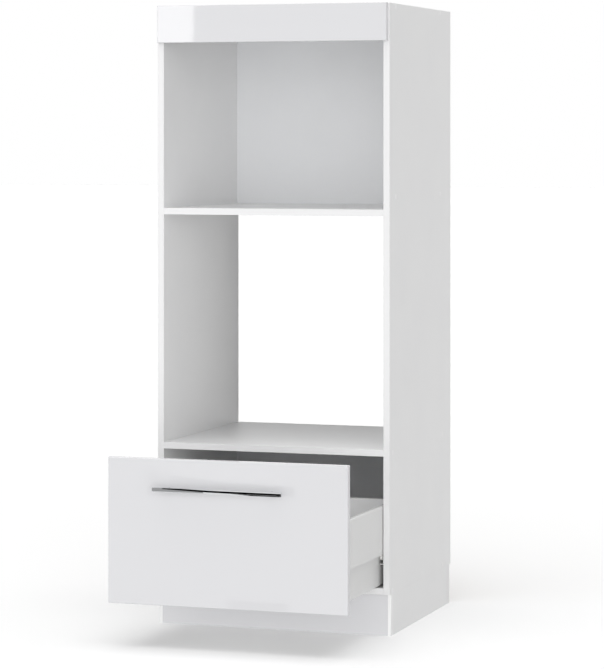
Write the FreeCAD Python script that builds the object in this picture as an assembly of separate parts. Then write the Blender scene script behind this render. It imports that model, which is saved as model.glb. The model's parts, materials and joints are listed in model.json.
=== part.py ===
import FreeCAD, Part
import math
import os

# Tall kitchen cabinet for a microwave and a built-in oven, with one deep drawer below.
# Millimetres, +Z up, +X to the right seen from the front, -Y towards the person in front.
# The origin is on the floor, under the middle of the plinth's front board.
# The drawer is modelled pulled out by DRAWER_OPENING.

Vec = FreeCAD.Vector
ALONG_X = Vec(1, 0, 0)
ALONG_Y = Vec(0, 1, 0)
ALONG_Z = Vec(0, 0, 1)

# ------------------------------------------------------------ carcass
WIDTH = 600.0
HEIGHT = 1530.0
DEPTH = 544.0
BOARD = 16.0
PLINTH_HEIGHT = 100.0
PLINTH_SETBACK = 12.0
PLINTH_REAR_GAP = 10.0
PLINTH_BOARD = 16.0
DRAWER_BAY_HEIGHT = 318.0
OVEN_NICHE_HEIGHT = 564.0
HARDBOARD = 3.0
BACK_INSET = 8.0
GROOVE_DEPTH = 6.0
GROOVE_CLEARANCE = 0.2
BACK_EDGE_MARGIN = 2.0

# ------------------------------------------------------------ fronts
FRONT_BOARD = 16.0
FRONT_EDGE_RADIUS = 1.5
FASCIA_HEIGHT = 92.0
FASCIA_SIDE_GAP = 4.0
DRAWER_FRONT_SIDE_GAP = 2.0
DRAWER_FRONT_REVEAL = 2.0
DRAWER_OPENING = 308.0
DRAWER_TRAVEL = 348.0
BUMPER_GAP = 2.0
BUMPER_PLAY = 0.2
BUMPER_RADIUS = 4.0
BUMPER_EDGE_X = 6.0
BUMPER_EDGE_Z = 10.0

# ------------------------------------------------------------ handle
HANDLE_LENGTH = 320.0
HANDLE_HEIGHT = 10.5
HANDLE_THICKNESS = 7.0
HANDLE_CROWN = 1.2
HANDLE_EDGE_RADIUS = 0.6
HANDLE_PROJECTION = 30.0
HANDLE_SHIFT = -15.0
HANDLE_DROP = 70.0
HANDLE_POST_SPACING = 256.0
HANDLE_POST_RADIUS = 4.0
HANDLE_SCREW_RADIUS = 2.0
HANDLE_SCREW_BITE = 8.0
HANDLE_SCREW_HEAD_RADIUS = 4.5
HANDLE_SCREW_HEAD_HEIGHT = 2.4

# ------------------------------------------------------------ carcass fasteners
SHANK_SIDES = 6
HEAD_SIDES = 8
CAP_SIDES = 16
ROUND_SIDES = 16
SCREW_CLEARANCE = 0.05
CONFIRMAT_RADIUS = 3.5
CONFIRMAT_LENGTH = 50.0
CONFIRMAT_HEAD_RADIUS = 5.0
CONFIRMAT_HEAD_HEIGHT = 4.0
UPPER_FASTENER_FRONT_INSET = 52.0
UPPER_FASTENER_REAR_INSET = 97.0
LOWER_FASTENER_FRONT_INSET = 24.0
LOWER_FASTENER_REAR_INSET = 77.0
CAP_RADIUS = 6.5
CAP_HEIGHT = 0.9
CAP_RIM = 0.4
SPARE_HOLE_RISE = 38.0
SPARE_HOLE_RADIUS = 2.5
SPARE_HOLE_DEPTH = 11.0
CAM_RADIUS = 7.5
CAM_DEPTH = 12.5
CAM_EDGE_DISTANCE = 34.0
CAM_SLOT_LENGTH = 9.0
CAM_SLOT_WIDTH = 2.0
CAM_SLOT_DEPTH = 2.0
CAM_BOLT_RADIUS = 3.5
CAM_BOLT_THREAD_RADIUS = 2.5
CAM_BOLT_THREAD_LENGTH = 11.0
DOWEL_RADIUS = 4.0
DOWEL_LENGTH = 30.0
DOWEL_IN_SIDE = 10.0
DOWEL_OFFSET = 32.0
BACK_SCREW_RADIUS = 1.5
BACK_SCREW_LENGTH = 16.0
BACK_SCREW_HEAD_RADIUS = 3.5
BACK_SCREW_HEAD_HEIGHT = 1.6
BACK_SCREW_COUNT = 3
BACK_SCREW_MARGIN = 60.0

# ------------------------------------------------------------ angle brackets
BRACKET_LEG = 28.0
BRACKET_WIDTH = 18.0
BRACKET_SHEET = 2.0
BRACKET_SCREW_OFFSET = 18.0
SMALL_SCREW_RADIUS = 1.75
SMALL_SCREW_LENGTH = 13.0
SMALL_SCREW_HEAD_RADIUS = 3.5
SMALL_SCREW_HEAD_HEIGHT = 1.0
FASCIA_BRACKET_SPACING = 180.0
FASCIA_BRACKET_DROP = 36.0
WALL_BRACKET_SPACING = 440.0
WALL_HOLE_RADIUS = 3.0
WALL_HOLE_IN_BACK_RADIUS = 5.0

# ------------------------------------------------------------ plinth and legs
CORNER_STRIP_FACE = 8.0
CORNER_STRIP_SHEET = 2.0
CORNER_STRIP_WING = 20.0
CORNER_STRIP_RADIUS = 2.0
LEG_FRONT_INSET = 75.0
LEG_REAR_INSET = 104.0
LEG_FLANGE_RADIUS = 29.0
LEG_FLANGE_HEIGHT = 4.0
LEG_SOCKET_RADIUS = 17.0
LEG_SOCKET_HEIGHT = 34.0
LEG_TUBE_RADIUS = 12.5
LEG_TUBE_WALL = 3.0
LEG_TUBE_CLEARANCE = 0.1
LEG_TUBE_INSIDE = 26.0
LEG_FOOT_RADIUS = 22.0
LEG_FOOT_HEIGHT = 7.0
LEG_PEG_RADIUS = 4.0
LEG_PEG_HEIGHT = 10.0
LEG_PEG_CIRCLE = 20.0
LEG_PEG_COUNT = 3
CLIP_HEIGHT = 12.0
CLIP_SHEET = 2.5
CLIP_PLATE_WIDTH = 40.0
CLIP_PLATE_HEIGHT = 26.0
CLIP_MOUTH = 18.0
CLIP_STRIP_GAP = 6.0
CLIP_STACK_GAP = 4.0
FRONT_CLIP_Z = 26.0

# ------------------------------------------------------------ drawer box
DRAWER_LENGTH = 450.0
DRAWER_SHEET = 1.2
SIDE_GAP = 12.5
SIDE_LIFT = 5.0
SIDE_HEIGHT = 83.0
BOTTOM_FLANGE = 20.0
TOP_FLANGE = 10.5
FLANGE_LIP = 6.5
REAR_TAB = 16.0
REAR_TAB_HEIGHT = 48.0
DRAWER_BOARD = 16.0
EXTENSION_HEIGHT = 111.0
EXTENSION_SHEET = 1.0
EXTENSION_RADIUS = 3.0
PLUG_LENGTH = 14.0
PLUG_CLEARANCE = 0.1
PLUG_TAB = 22.0
PLUG_TAB_SHEET = 2.0
PLUG_STUD_RADIUS = 3.0
PLUG_STUD_LENGTH = 9.0
PLUG_STUD_SPACING = 60.0
FRONT_BRACKET_LEG = 24.0
FRONT_BRACKET_REACH = 34.0
FRONT_BRACKET_HEIGHT = 52.0
FRONT_BRACKET_SHEET = 2.0
FRONT_BRACKET_LIFT = 2.0
FRONT_BRACKET_SCREW_INSET = 14.0
SCREW_PITCH = 32.0
BOTTOM_SCREW_COUNT = 3
BOTTOM_SCREW_MARGIN = 60.0

# ------------------------------------------------------------ roller runners
RUNNER_SETBACK = 2.0
RUNNER_SHEET = 1.2
ROLLER_RADIUS = 10.2
ROLLER_GAP = 0.3
ROLLER_WIDTH = 6.9
ROLLER_SIDE_GAP = 1.8
AXLE_RADIUS = 2.54
AXLE_CLEARANCE = 0.06
AXLE_SHOULDER_RADIUS = 3.6
AXLE_HEAD_RADIUS = 4.0
AXLE_HEAD_HEIGHT = 1.0
AXLE_END_PLAY = 0.1
RUNNER_LIP_GAP = 0.5
RUNNER_TRACK_GAP = 0.5
FRONT_ROLLER_DEPTH = 14.0
FRONT_ROLLER_WINDOW = 30.0
REAR_ROLLER_INSET = 30.0
RUNNER_STOP_GAP = 0.3
RUNNER_STOP_LENGTH = 4.0
RUNNER_STOP_HEIGHT = 4.0
RUNNER_SCREW_COUNT = 3
RUNNER_SCREW_FRONT_MARGIN = 44.0
RUNNER_SCREW_REAR_MARGIN = 30.0

# ------------------------------------------------------------ derived places
FRONT = -(PLINTH_SETBACK + PLINTH_BOARD / 2)
REAR = FRONT + DEPTH
HALF = WIDTH / 2
INNER = HALF - BOARD
BACK_FACE = REAR - BACK_INSET - HARDBOARD
BOTTOM_Z = PLINTH_HEIGHT
BAY_FLOOR = BOTTOM_Z + BOARD
OVEN_SHELF_Z = BAY_FLOOR + DRAWER_BAY_HEIGHT
OVEN_FLOOR = OVEN_SHELF_Z + BOARD
MICROWAVE_SHELF_Z = OVEN_FLOOR + OVEN_NICHE_HEIGHT
TOP_Z = HEIGHT - BOARD
SPARE_HOLE_Z = MICROWAVE_SHELF_Z + BOARD / 2 + SPARE_HOLE_RISE
UPPER_FASTENER_YS = (FRONT + UPPER_FASTENER_FRONT_INSET, REAR - UPPER_FASTENER_REAR_INSET)
LOWER_FASTENER_YS = (FRONT + LOWER_FASTENER_FRONT_INSET, REAR - LOWER_FASTENER_REAR_INSET)
LEG_X = HALF - PLINTH_BOARD - CORNER_STRIP_WING - CLIP_STRIP_GAP - CLIP_PLATE_WIDTH / 2
LEG_FRONT_Y = FRONT + LEG_FRONT_INSET
LEG_REAR_Y = REAR - LEG_REAR_INSET
SIDE_CLIP_Z = FRONT_CLIP_Z + CLIP_HEIGHT + CLIP_STACK_GAP

FASCIA_HALF = HALF - FASCIA_SIDE_GAP
DRAWER_FRONT_HALF = HALF - DRAWER_FRONT_SIDE_GAP
DRAWER_BACK_OF_FRONT = FRONT - BUMPER_GAP - DRAWER_OPENING
DRAWER_FACE = DRAWER_BACK_OF_FRONT - FRONT_BOARD
DRAWER_FRONT_Z = BOTTOM_Z + DRAWER_FRONT_REVEAL
DRAWER_FRONT_TOP = OVEN_FLOOR - DRAWER_FRONT_REVEAL
HANDLE_Z = DRAWER_FRONT_TOP - HANDLE_DROP

WEB_OUTER = INNER - SIDE_GAP
WEB_INNER = WEB_OUTER - DRAWER_SHEET
SIDE_Z = BAY_FLOOR + SIDE_LIFT
SIDE_TOP = SIDE_Z + SIDE_HEIGHT
FLANGE_EDGE = WEB_OUTER + TOP_FLANGE
FLOOR_Z = SIDE_Z + DRAWER_SHEET
DRAWER_FLOOR = FLOOR_Z + DRAWER_BOARD
EXTENSION_TOP = SIDE_TOP + EXTENSION_HEIGHT
DRAWER_REAR = DRAWER_BACK_OF_FRONT + DRAWER_LENGTH

RUNNER_FRONT = FRONT + RUNNER_SETBACK
RUNNER_WEB = INNER - RUNNER_SHEET
RUNNER_TOP = SIDE_TOP - FLANGE_LIP - RUNNER_LIP_GAP
TRACK_TOP = RUNNER_TOP - RUNNER_SHEET
REAR_ROLLER_Z = TRACK_TOP - RUNNER_TRACK_GAP - ROLLER_RADIUS
TRACK_FLOOR = REAR_ROLLER_Z - ROLLER_RADIUS - ROLLER_GAP
FRONT_ROLLER_Z = SIDE_TOP - DRAWER_SHEET - ROLLER_GAP - ROLLER_RADIUS
FRONT_ROLLER_Y = FRONT + FRONT_ROLLER_DEPTH
REAR_ROLLER_Y = DRAWER_REAR - REAR_ROLLER_INSET
ROLLER_INNER_X = WEB_OUTER + ROLLER_SIDE_GAP
ROLLER_OUTER_X = ROLLER_INNER_X + ROLLER_WIDTH
LAST_REAR_ROLLER_Y = REAR_ROLLER_Y + DRAWER_OPENING - DRAWER_TRAVEL


# ------------------------------------------------------------ shape helpers
def block(x0, x1, y0, y1, z0, z1):
    """Rectangular board between two corners."""
    return Part.makeBox(x1 - x0, y1 - y0, z1 - z0, Vec(x0, y0, z0))


def rod(start, axis, radius, length, sides=0):
    """Cylinder, or a prism with an even number of sides, that starts at a point and runs along an axis."""
    if not sides:
        return Part.makeCylinder(radius, length, Vec(*start), axis)
    up = ALONG_X if abs(axis.z) > 0.5 else ALONG_Z
    across = axis.cross(up)
    turns = [2 * math.pi * i / sides for i in range(sides)]
    rim = [Vec(*start) + up * (radius * math.cos(t)) + across * (radius * math.sin(t)) for t in turns]
    return outline(rim).extrude(axis * length)


def mirrored(shape):
    """The same shape on the cabinet's left side."""
    return shape.mirror(Vec(0, 0, 0), ALONG_X)


def both_sides(shapes):
    """Right-hand shapes followed by their mirror images."""
    return list(shapes) + [mirrored(shape) for shape in shapes]


def spread(count, first, last):
    """Evenly spaced places from the first to the last."""
    return [first + (last - first) * i / (count - 1) for i in range(count)]


def outline(points):
    """Flat face inside a closed run of straight lines."""
    corners = [Vec(*point) for point in points]
    return Part.Face(Part.makePolygon(corners + corners[:1]))


def folded_sheet(path, thickness, y0, y1):
    """Sheet folded along an x-z path, with its thickness to the left of the path, run along y."""
    def left_normal(a, b):
        length = math.hypot(b[0] - a[0], b[1] - a[1])
        return (-(b[1] - a[1]) / length, (b[0] - a[0]) / length)

    normals = [left_normal(a, b) for a, b in zip(path, path[1:])]
    offset = []
    for i, (x, z) in enumerate(path):
        before = normals[max(i - 1, 0)]
        after = normals[min(i, len(normals) - 1)]
        mitre = 1 + before[0] * after[0] + before[1] * after[1]
        nx = (before[0] + after[0]) / mitre
        nz = (before[1] + after[1]) / mitre
        offset.append((x + nx * thickness, z + nz * thickness))
    points = [(x, y0, z) for x, z in path] + [(x, y0, z) for x, z in reversed(offset)]
    return outline(points).extrude(Vec(0, y1 - y0, 0))


def headed_screw(seat, axis, radius, length, head_radius, head_height):
    """Plain screw: the head stands on the seat, and the shank runs along the axis below it."""
    head = rod(seat, -axis, head_radius, head_height, HEAD_SIDES)
    return head.fuse(rod(seat, axis, radius, length, SHANK_SIDES)).removeSplitter()


def small_screw(seat, axis):
    """Wood screw with a flat round head, for the sheet metal parts."""
    return headed_screw(seat, axis, SMALL_SCREW_RADIUS, SMALL_SCREW_LENGTH,
                        SMALL_SCREW_HEAD_RADIUS, SMALL_SCREW_HEAD_HEIGHT)


def small_screw_hole(seat, axis):
    """Hole that a small screw fills, from its seat down."""
    return rod(seat, axis, SMALL_SCREW_RADIUS + SCREW_CLEARANCE, SMALL_SCREW_LENGTH + SCREW_CLEARANCE,
               SHANK_SIDES)


def drilled(shape, cutters):
    """The shape with all the cutters taken out of it."""
    return shape.cut(list(cutters)) if cutters else shape


def save(node, *solids):
    """Writes one node, whose pieces stay separate solids."""
    for solid in solids:
        if not solid.isValid() or len(solid.Solids) != 1:
            raise ValueError("bad solid in " + node)
    shape = solids[0].Solids[0] if len(solids) == 1 else Part.makeCompound([s.Solids[0] for s in solids])
    shape.exportStep("parts/" + node + ".step")


# ------------------------------------------------------------ where fasteners go
def confirmat_seats():
    """Places of the long screws on the right: head seat points that look into the boards' ends."""
    boards = ((BOTTOM_Z, LOWER_FASTENER_YS), (OVEN_SHELF_Z, LOWER_FASTENER_YS), (TOP_Z, UPPER_FASTENER_YS))
    return [(HALF - CONFIRMAT_HEAD_HEIGHT, y, z + BOARD / 2) for z, ys in boards for y in ys]


def spare_hole_places():
    """Mouths of the holes for a higher microwave shelf, on the right."""
    return [(HALF, y, SPARE_HOLE_Z) for y in UPPER_FASTENER_YS]


def dowel_ys():
    """Places of the dowels beside the microwave shelf's cam fittings."""
    front, rear = UPPER_FASTENER_YS
    return [front + DOWEL_OFFSET, rear - DOWEL_OFFSET]


def confirmat_holes():
    """Stepped holes for the long screws, through the right side and into the boards."""
    holes = []
    for seat in confirmat_seats():
        shank = CONFIRMAT_LENGTH - CONFIRMAT_HEAD_HEIGHT + SCREW_CLEARANCE
        holes.append(rod(seat, -ALONG_X, CONFIRMAT_RADIUS + SCREW_CLEARANCE, shank, SHANK_SIDES))
        holes.append(rod(seat, ALONG_X, CONFIRMAT_HEAD_RADIUS + SCREW_CLEARANCE, CONFIRMAT_HEAD_HEIGHT,
                         HEAD_SIDES))
    return holes


def dowels():
    """Wooden dowels between the right side and the microwave shelf."""
    start = INNER + DOWEL_IN_SIDE
    return [rod((start, y, MICROWAVE_SHELF_Z + BOARD / 2), -ALONG_X, DOWEL_RADIUS, DOWEL_LENGTH, HEAD_SIDES)
            for y in dowel_ys()]


def cam_bolts():
    """Bolts screwed into the right side, whose shanks reach the cams in the shelf."""
    bolts = []
    shank = CAM_EDGE_DISTANCE - CAM_RADIUS
    for y in UPPER_FASTENER_YS:
        seat = (INNER, y, MICROWAVE_SHELF_Z + BOARD / 2)
        thread = rod(seat, ALONG_X, CAM_BOLT_THREAD_RADIUS, CAM_BOLT_THREAD_LENGTH, SHANK_SIDES)
        bolts.append(thread.fuse(rod(seat, -ALONG_X, CAM_BOLT_RADIUS, shank, SHANK_SIDES)).removeSplitter())
    return bolts


def cams():
    """Round cams let into the shelf's underside near its right end."""
    x = INNER - CAM_EDGE_DISTANCE
    return [rod((x, y, MICROWAVE_SHELF_Z), ALONG_Z, CAM_RADIUS, CAM_DEPTH, ROUND_SIDES)
            for y in UPPER_FASTENER_YS]


def back_screw_seats(z):
    """Places of the back panel screws in one board's rear edge."""
    xs = spread(BACK_SCREW_COUNT, -INNER + BACK_SCREW_MARGIN, INNER - BACK_SCREW_MARGIN)
    return [(x, BACK_FACE + HARDBOARD, z + BOARD / 2) for x in xs]


def back_screw_holes(z):
    """Pilot holes for those screws, through the hardboard and into the board."""
    return [rod(seat, -ALONG_Y, BACK_SCREW_RADIUS + SCREW_CLEARANCE, BACK_SCREW_LENGTH + SCREW_CLEARANCE,
                SHANK_SIDES) for seat in back_screw_seats(z)]


# ------------------------------------------------------------ angle brackets
def fascia_brackets():
    """Angles that hold the fascia: two under the top panel and one on each side panel."""
    brackets = []
    for x in (-FASCIA_BRACKET_SPACING / 2, FASCIA_BRACKET_SPACING / 2):
        flat = block(x - BRACKET_WIDTH / 2, x + BRACKET_WIDTH / 2, FRONT, FRONT + BRACKET_LEG,
                     TOP_Z - BRACKET_SHEET, TOP_Z)
        upright = block(x - BRACKET_WIDTH / 2, x + BRACKET_WIDTH / 2, FRONT, FRONT + BRACKET_SHEET,
                        TOP_Z - BRACKET_LEG, TOP_Z)
        brackets.append(flat.fuse(upright).removeSplitter())
    z = TOP_Z - FASCIA_BRACKET_DROP - BRACKET_WIDTH / 2
    on_side = block(INNER - BRACKET_SHEET, INNER, FRONT, FRONT + BRACKET_LEG, z, z + BRACKET_WIDTH)
    on_fascia = block(INNER - BRACKET_LEG, INNER, FRONT, FRONT + BRACKET_SHEET, z, z + BRACKET_WIDTH)
    return brackets + both_sides([on_side.fuse(on_fascia).removeSplitter()])


def fascia_screw_seats():
    """Seats and directions of the screws through the fascia brackets."""
    seats = []
    for x in (-FASCIA_BRACKET_SPACING / 2, FASCIA_BRACKET_SPACING / 2):
        seats.append(((x, FRONT + BRACKET_SCREW_OFFSET, TOP_Z - BRACKET_SHEET), ALONG_Z))
        seats.append(((x, FRONT + BRACKET_SHEET, TOP_Z - BRACKET_SCREW_OFFSET), -ALONG_Y))
    z = TOP_Z - FASCIA_BRACKET_DROP
    for side in (-1, 1):
        seats.append(((side * (INNER - BRACKET_SHEET), FRONT + BRACKET_SCREW_OFFSET, z), ALONG_X * side))
        seats.append(((side * (INNER - BRACKET_SCREW_OFFSET), FRONT + BRACKET_SHEET, z), -ALONG_Y))
    return seats


def wall_hole_places():
    """Centres of the wall fixing holes on the back panel's front face."""
    z = TOP_Z - BRACKET_SCREW_OFFSET
    return [(side * WALL_BRACKET_SPACING / 2, BACK_FACE, z) for side in (-1, 1)]


def wall_brackets():
    """Angles under the top panel that take the screws to the wall."""
    brackets = []
    for x, y, z in wall_hole_places():
        flat = block(x - BRACKET_WIDTH / 2, x + BRACKET_WIDTH / 2, y - BRACKET_LEG, y,
                     TOP_Z - BRACKET_SHEET, TOP_Z)
        upright = block(x - BRACKET_WIDTH / 2, x + BRACKET_WIDTH / 2, y - BRACKET_SHEET, y,
                        TOP_Z - BRACKET_LEG, TOP_Z)
        hole = rod((x, y - BRACKET_SHEET, z), ALONG_Y, WALL_HOLE_RADIUS, BRACKET_SHEET)
        brackets.append(flat.fuse(upright).removeSplitter().cut(hole))
    return brackets


def wall_screw_seats():
    """Seats and directions of the screws that hold the wall brackets to the top panel."""
    return [((x, y - BRACKET_SCREW_OFFSET, TOP_Z - BRACKET_SHEET), ALONG_Z)
            for x, y, z in wall_hole_places()]


# ------------------------------------------------------------ carcass boards
def side_panel():
    """Right side panel with its grooves and all its drilling."""
    panel = block(INNER, HALF, FRONT, REAR, BOTTOM_Z, HEIGHT)
    groove_width = HARDBOARD + GROOVE_CLEARANCE
    cutters = []
    for z0, z1 in (back_panel_span(BOTTOM_Z, OVEN_FLOOR), back_panel_span(MICROWAVE_SHELF_Z, HEIGHT)):
        cutters.append(block(INNER, INNER + GROOVE_DEPTH, BACK_FACE, BACK_FACE + groove_width,
                             z0 - GROOVE_CLEARANCE, z1 + GROOVE_CLEARANCE))
    cutters += confirmat_holes()
    cutters += [rod(place, -ALONG_X, SPARE_HOLE_RADIUS, SPARE_HOLE_DEPTH, SHANK_SIDES)
                for place in spare_hole_places()]
    cutters += dowels()
    cutters += [rod((INNER, y, MICROWAVE_SHELF_Z + BOARD / 2), ALONG_X,
                    CAM_BOLT_THREAD_RADIUS + SCREW_CLEARANCE, CAM_BOLT_THREAD_LENGTH, SHANK_SIDES)
                for y in UPPER_FASTENER_YS]
    cutters += [small_screw_hole(seat, axis) for seat, axis in fascia_screw_seats() if axis.x > 0]
    cutters += [small_screw_hole(seat, axis) for seat, axis in runner_screw_seats()]
    return drilled(panel, cutters)


def cross_board(z, cutters):
    """Board between the sides that reaches back to the back panel's front face."""
    return drilled(block(-INNER, INNER, FRONT, BACK_FACE, z, z + BOARD), cutters)


def bottom_panel():
    """Lowest board, with blind holes under it for the legs' pegs."""
    pegs = [rod((x, y, BOTTOM_Z), ALONG_Z, LEG_PEG_RADIUS, LEG_PEG_HEIGHT, SHANK_SIDES)
            for x, y in leg_peg_places()]
    return cross_board(BOTTOM_Z, both_sides(confirmat_holes()) + back_screw_holes(BOTTOM_Z) + pegs)


def oven_shelf():
    """Fixed shelf that carries the oven."""
    return cross_board(OVEN_SHELF_Z, both_sides(confirmat_holes()) + back_screw_holes(OVEN_SHELF_Z))


def microwave_shelf():
    """Shelf that carries the microwave, held by cams and dowels."""
    fittings = both_sides(dowels() + cams())
    fittings += both_sides([rod((INNER, y, MICROWAVE_SHELF_Z + BOARD / 2), -ALONG_X,
                                CAM_BOLT_RADIUS + SCREW_CLEARANCE, CAM_EDGE_DISTANCE, SHANK_SIDES)
                            for y in UPPER_FASTENER_YS])
    return cross_board(MICROWAVE_SHELF_Z, fittings + back_screw_holes(MICROWAVE_SHELF_Z))


def top_panel():
    """Top board between the sides."""
    holes = [small_screw_hole(seat, axis) for seat, axis in fascia_screw_seats() + wall_screw_seats()
             if axis.z > 0]
    return cross_board(TOP_Z, both_sides(confirmat_holes()) + back_screw_holes(TOP_Z) + holes)


def back_panel_span(low_board, high_board):
    """Lowest and highest points of a back panel that covers the edges of two boards."""
    return low_board + BACK_EDGE_MARGIN, high_board - BACK_EDGE_MARGIN


def back_panel(low_board, high_board, screw_levels, holes):
    """Hardboard panel in the side panels' grooves."""
    z0, z1 = back_panel_span(low_board, high_board)
    reach = INNER + GROOVE_DEPTH - GROOVE_CLEARANCE
    panel = block(-reach, reach, BACK_FACE, BACK_FACE + HARDBOARD, z0, z1)
    screws = [hole for z in screw_levels for hole in back_screw_holes(z)]
    return drilled(panel, screws + holes)


def rounded_front(x0, x1, y0, z0, z1):
    """Front board with softly rounded edges all round its outer face."""
    board = block(x0, x1, y0, y0 + FRONT_BOARD, z0, z1)
    edges = [edge for edge in board.Edges if abs(edge.BoundBox.YMax - y0) < FRONT_EDGE_RADIUS / 2]
    return board.makeFillet(FRONT_EDGE_RADIUS, edges)


def fascia():
    """High-gloss strip across the top of the carcass."""
    board = rounded_front(-FASCIA_HALF, FASCIA_HALF, FRONT - FRONT_BOARD, HEIGHT - FASCIA_HEIGHT, HEIGHT)
    return drilled(board, [small_screw_hole(seat, axis) for seat, axis in fascia_screw_seats()
                           if axis.y < 0])


def save_carcass():
    """Boards, back panels and the fasteners between them."""
    right = side_panel()
    save("side_panel_right", right)
    save("side_panel_left", mirrored(right))
    save("bottom_panel", bottom_panel())
    save("oven_shelf", oven_shelf())
    save("microwave_shelf", microwave_shelf())
    save("top_panel", top_panel())
    wall_holes = [rod(place, ALONG_Y, WALL_HOLE_IN_BACK_RADIUS, HARDBOARD) for place in wall_hole_places()]
    save("back_panel_lower", back_panel(BOTTOM_Z, OVEN_FLOOR, (BOTTOM_Z, OVEN_SHELF_Z), []))
    save("back_panel_upper", back_panel(MICROWAVE_SHELF_Z, HEIGHT, (MICROWAVE_SHELF_Z, TOP_Z), wall_holes))
    save("fascia", fascia())

    levels = (BOTTOM_Z, OVEN_SHELF_Z, MICROWAVE_SHELF_Z, TOP_Z)
    save("back_panel_screws", *[headed_screw(seat, -ALONG_Y, BACK_SCREW_RADIUS, BACK_SCREW_LENGTH,
                                             BACK_SCREW_HEAD_RADIUS, BACK_SCREW_HEAD_HEIGHT)
                                for z in levels for seat in back_screw_seats(z)])
    save("shelf_cams", *[drilled(cam, [slot_of(cam)]) for cam in both_sides(cams())])
    save("shelf_bolts", *both_sides(cam_bolts()))
    save("shelf_dowels", *both_sides(dowels()))
    save("confirmat_screws", *both_sides([confirmat(seat) for seat in confirmat_seats()]))
    caps = [cover_cap((HALF, seat[1], seat[2])) for seat in confirmat_seats()]
    caps += [cover_cap(place) for place in spare_hole_places()]
    save("cover_caps_right", *caps)
    save("cover_caps_left", *[mirrored(cap) for cap in caps])
    save("fascia_brackets", *[drilled(b, bracket_holes(fascia_screw_seats())) for b in fascia_brackets()])
    save("wall_brackets", *[drilled(b, bracket_holes(wall_screw_seats())) for b in wall_brackets()])
    save("bracket_screws", *[small_screw(seat, axis)
                             for seat, axis in fascia_screw_seats() + wall_screw_seats()])


def bracket_holes(seats):
    """Screw holes through the brackets' sheet."""
    return [small_screw_hole(seat, axis) for seat, axis in seats]


def slot_of(cam):
    """Driver slot across the lower face of a cam."""
    middle = cam.CenterOfMass
    return block(middle.x - CAM_SLOT_LENGTH / 2, middle.x + CAM_SLOT_LENGTH / 2,
                 middle.y - CAM_SLOT_WIDTH / 2, middle.y + CAM_SLOT_WIDTH / 2,
                 MICROWAVE_SHELF_Z, MICROWAVE_SHELF_Z + CAM_SLOT_DEPTH)


def confirmat(seat):
    """Long screw on the right side, sunk flush into its counterbore."""
    return headed_screw(seat, -ALONG_X, CONFIRMAT_RADIUS, CONFIRMAT_LENGTH - CONFIRMAT_HEAD_HEIGHT,
                        CONFIRMAT_HEAD_RADIUS, CONFIRMAT_HEAD_HEIGHT)


def cover_cap(place):
    """Self-adhesive disc with a bevelled rim, on the right side's outer face."""
    disc = rod(place, ALONG_X, CAP_RADIUS, CAP_HEIGHT, CAP_SIDES)
    outer_edges = [edge for edge in disc.Edges if edge.BoundBox.XMin > HALF + CAP_HEIGHT / 2]
    return disc.makeChamfer(CAP_HEIGHT - CAP_RIM, outer_edges)


# ------------------------------------------------------------ plinth and legs
def leg_places():
    """Centres of the four legs."""
    return [(side * LEG_X, y) for y in (LEG_FRONT_Y, LEG_REAR_Y) for side in (-1, 1)]


def leg_peg_places():
    """Centres of the pegs that hold the leg sockets under the bottom panel."""
    places = []
    for x, y in leg_places():
        for i in range(LEG_PEG_COUNT):
            turn = 2 * math.pi * (i + 0.5) / LEG_PEG_COUNT
            places.append((x + LEG_PEG_CIRCLE * math.cos(turn), y + LEG_PEG_CIRCLE * math.sin(turn)))
    return places


def leg_socket(x, y):
    """Flange with pegs above it and a sleeve below it for the leg's tube."""
    flange = rod((x, y, BOTTOM_Z), -ALONG_Z, LEG_FLANGE_RADIUS, LEG_FLANGE_HEIGHT, ROUND_SIDES)
    sleeve = rod((x, y, BOTTOM_Z), -ALONG_Z, LEG_SOCKET_RADIUS, LEG_SOCKET_HEIGHT, ROUND_SIDES)
    pegs = [rod((px, py, BOTTOM_Z), ALONG_Z, LEG_PEG_RADIUS - SCREW_CLEARANCE,
                LEG_PEG_HEIGHT - SCREW_CLEARANCE, SHANK_SIDES)
            for px, py in leg_peg_places() if math.hypot(px - x, py - y) < LEG_FLANGE_RADIUS]
    bore = rod((x, y, BOTTOM_Z - LEG_SOCKET_HEIGHT), ALONG_Z, LEG_TUBE_RADIUS + LEG_TUBE_CLEARANCE,
               LEG_SOCKET_HEIGHT - LEG_FLANGE_HEIGHT, ROUND_SIDES)
    return flange.fuse([sleeve] + pegs).removeSplitter().cut(bore)


def leg_foot(x, y):
    """Tube that slides in the socket, on a round foot."""
    top = BOTTOM_Z - LEG_SOCKET_HEIGHT + LEG_TUBE_INSIDE
    foot = rod((x, y, 0), ALONG_Z, LEG_FOOT_RADIUS, LEG_FOOT_HEIGHT, ROUND_SIDES)
    tube = rod((x, y, 0), ALONG_Z, LEG_TUBE_RADIUS, top, ROUND_SIDES)
    hollow = rod((x, y, LEG_FOOT_HEIGHT), ALONG_Z, LEG_TUBE_RADIUS - LEG_TUBE_WALL, top - LEG_FOOT_HEIGHT,
                 ROUND_SIDES)
    return foot.fuse(tube).removeSplitter().cut(hollow)


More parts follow.
